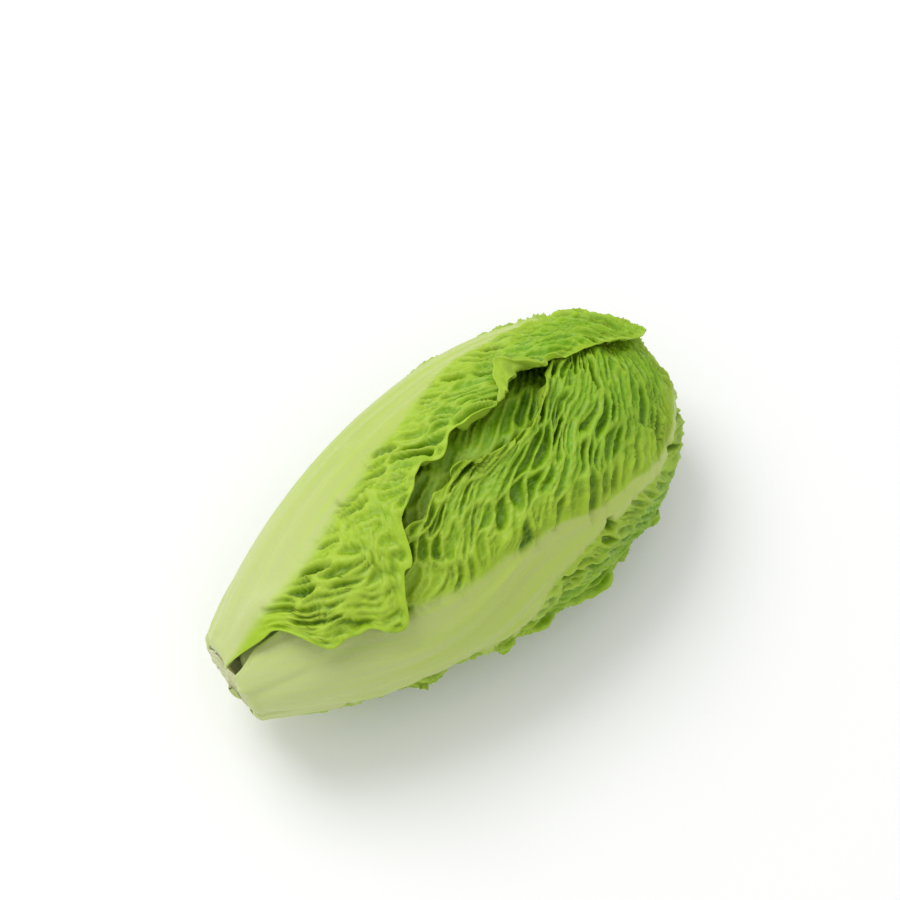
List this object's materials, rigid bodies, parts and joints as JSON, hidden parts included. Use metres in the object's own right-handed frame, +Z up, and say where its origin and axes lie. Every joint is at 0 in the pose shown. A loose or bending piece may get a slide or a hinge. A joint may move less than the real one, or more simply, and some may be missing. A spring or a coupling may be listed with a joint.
{
  "type": "romaine lettuce head",
  "caption": "Small compact romaine lettuce head lying on its side, with overlapping leaves round a short stem cut flat at its base.",
  "frame": {"origin": "middle of the head's bounding box, on the surface that it rests on", "axes": "+X along the head from the cut stem to the leaf tips, +Z up"},
  "size_m": [0.159, 0.0808, 0.0704],
  "materials": {
    "stem": "moist matt cut stem",
    "outer_leaf": "waxy satin leaf",
    "heart_leaf": "waxy satin leaf"
  },
  "bodies": {
    "root": {"stem": "stem", "leaf_01_upper_wrapper": "outer_leaf", "leaf_02_front_wrapper": "outer_leaf", "leaf_03_underside_wrapper": "outer_leaf", "leaf_04_front_second": "outer_leaf", "leaf_05_lower_second": "outer_leaf", "leaf_06_back_second": "outer_leaf", "leaf_07_heart": "heart_leaf", "leaf_08_heart": "heart_leaf", "leaf_09_heart": "heart_leaf", "leaf_10_heart": "heart_leaf", "leaf_11_heart": "heart_leaf", "leaf_12_heart": "heart_leaf", "leaf_13_heart": "heart_leaf", "leaf_14_heart": "heart_leaf", "leaf_15_heart": "heart_leaf", "leaf_16_heart": "heart_leaf", "leaf_17_heart": "heart_leaf", "leaf_18_heart": "heart_leaf"}
  },
  "joints": []
}
